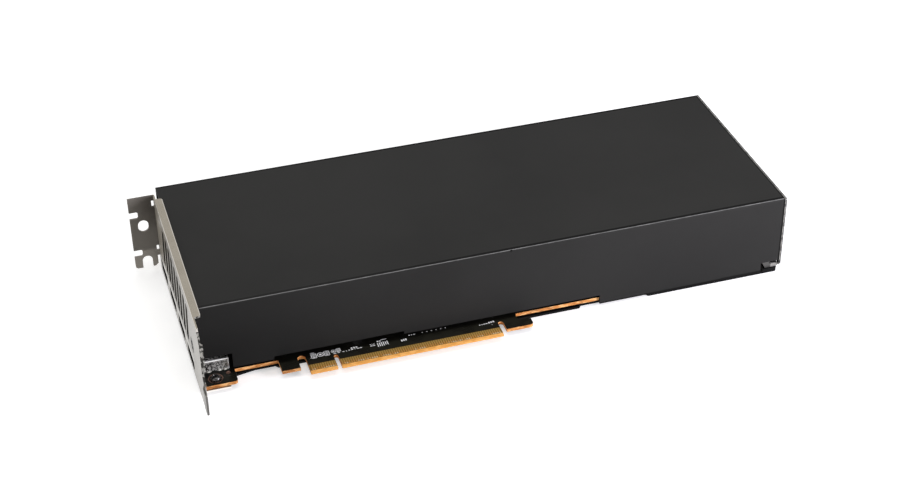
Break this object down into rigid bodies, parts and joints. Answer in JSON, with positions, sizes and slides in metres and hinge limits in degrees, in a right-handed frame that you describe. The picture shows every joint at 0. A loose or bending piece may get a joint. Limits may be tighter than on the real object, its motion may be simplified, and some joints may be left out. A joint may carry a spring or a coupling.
{
  "type": "passive accelerator card",
  "caption": "Two-slot passive accelerator card: ducted fin heat sink in a folded shroud on a board with an edge connector and a vented bracket.",
  "frame": {"origin": "middle of the edge connector's key, on the line of the connector's tip, in the plane of the board's component side", "axes": "+X along the card from the bracket to the rear end, +Y from the edge connector to the back edge, +Z out of the board's component side"},
  "size_m": [0.2791, 0.1286, 0.0403],
  "materials": {
    "board": "satin",
    "gold": "satin",
    "bracket_steel": "satin",
    "black_screw": "satin",
    "socket_shell": "satin",
    "black_plastic": "matte",
    "shroud_paint": "matte",
    "end_frame_metal": "satin",
    "back_plate_paint": "matte",
    "film": "satin",
    "spring_steel": "satin",
    "bright_screw": "satin",
    "heat_sink_metal": "satin",
    "fin_metal": "satin",
    "cast_metal": "matte",
    "chip_plastic": "matte",
    "thermal_pad": "matte",
    "choke": "matte",
    "capacitor_can": "satin",
    "ceramic_chip": "matte",
    "package_laminate": "satin",
    "silicon": "gloss",
    "stiffener_metal": "satin",
    "thermal_paste": "matte"
  },
  "bodies": {
    "root": {"main_board": "board", "edge_contacts": "gold", "io_bracket": "bracket_steel", "bracket_screws": "black_screw", "display_socket_shells": "socket_shell", "display_socket_inserts": "black_plastic", "shroud": "shroud_paint", "shroud_screws": "black_screw", "end_frame": "end_frame_metal", "end_frame_screws": "black_screw", "back_plate": "back_plate_paint", "insulating_film": "film", "cast_frame_screws": "black_screw", "retention_spring": "spring_steel", "retention_screws": "bright_screw", "heat_sink_base": "heat_sink_metal", "heat_sink_fins": "fin_metal", "cast_frame": "cast_metal", "power_stages": "chip_plastic", "power_stage_pads": "thermal_pad", "inductors": "choke", "bulk_capacitors": "capacitor_can", "ceramic_capacitors": "ceramic_chip", "control_chips": "chip_plastic", "firmware_chip": "chip_plastic", "processor_substrate": "package_laminate", "processor_die": "silicon", "memory_stacks": "silicon", "package_stiffener": "stiffener_metal", "thermal_compound": "thermal_paste", "power_socket_housing": "black_plastic", "power_socket_pins": "gold"}
  },
  "joints": []
}
